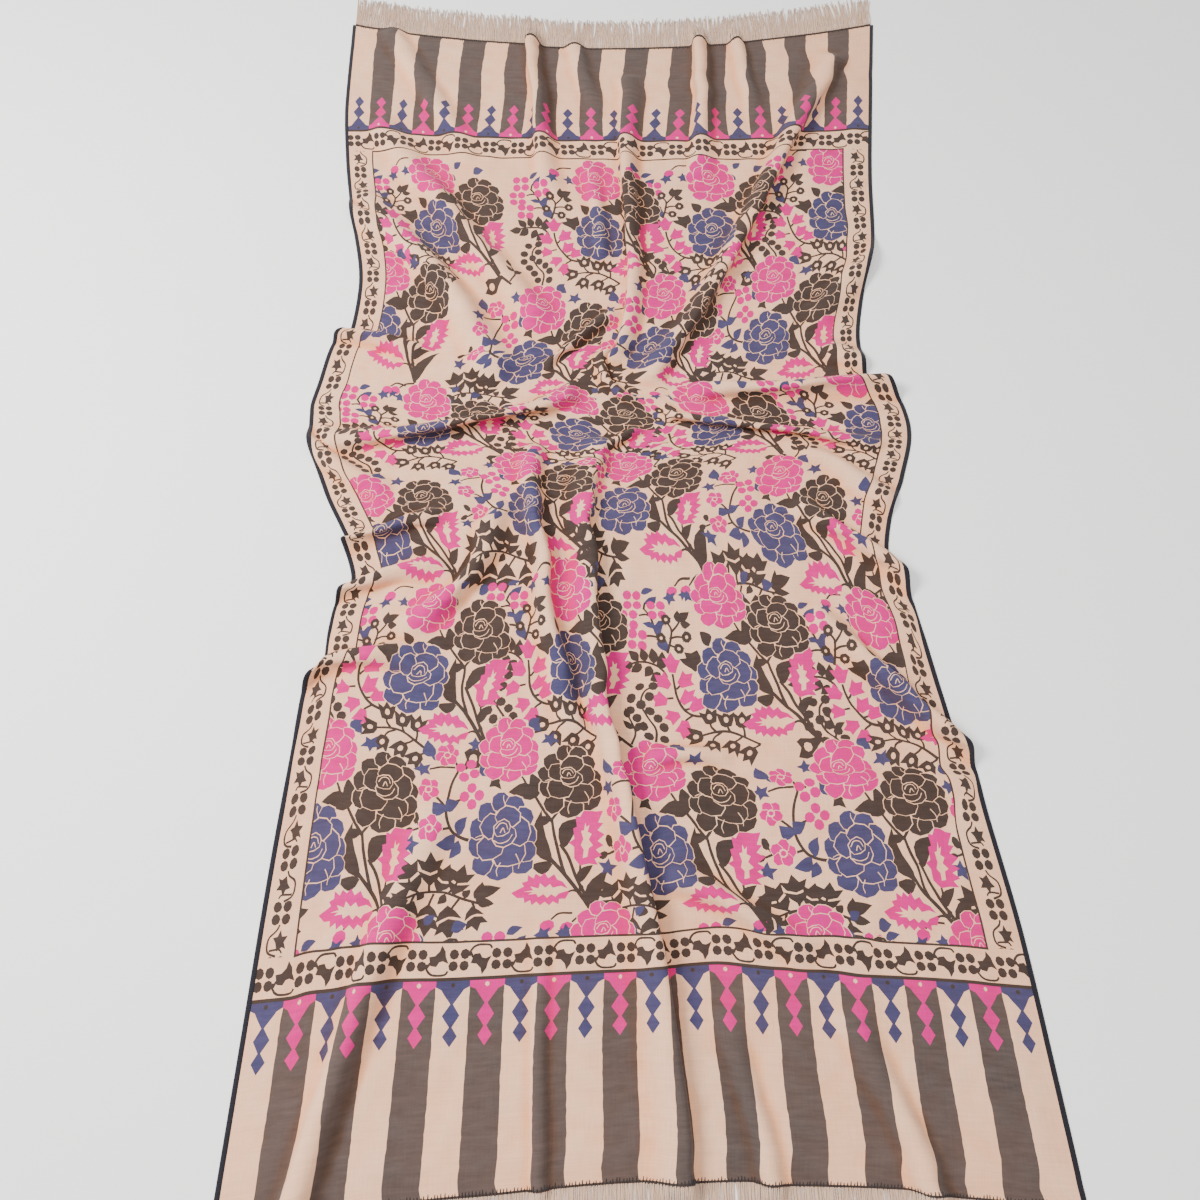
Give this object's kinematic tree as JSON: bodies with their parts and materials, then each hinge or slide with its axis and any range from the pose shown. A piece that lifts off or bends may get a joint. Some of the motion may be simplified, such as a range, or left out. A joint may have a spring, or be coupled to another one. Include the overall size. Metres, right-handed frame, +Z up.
{
  "type": "shawl",
  "caption": "Woven wool shawl laid flat and bunched at its middle, with fringed ends, striped end bands and a flowered field.",
  "frame": {"origin": "on the floor under the middle of the shawl's box", "axes": "+X across the shawl to the right in the picture, +Y along it to the far end, +Z up from the floor"},
  "size_m": [0.971, 2.063, 0.0283],
  "materials": {
    "woven_cloth": "soft twill wool, cream ground with pink, blue and charcoal flowers",
    "dark_edging": "dense dark yarn",
    "loose_yarn": "soft untwisted yarn"
  },
  "bodies": {
    "root": {"cloth": "woven_cloth", "edging_left": "dark_edging", "edging_right": "dark_edging", "fringe_near": "loose_yarn", "fringe_far": "loose_yarn"}
  },
  "joints": []
}
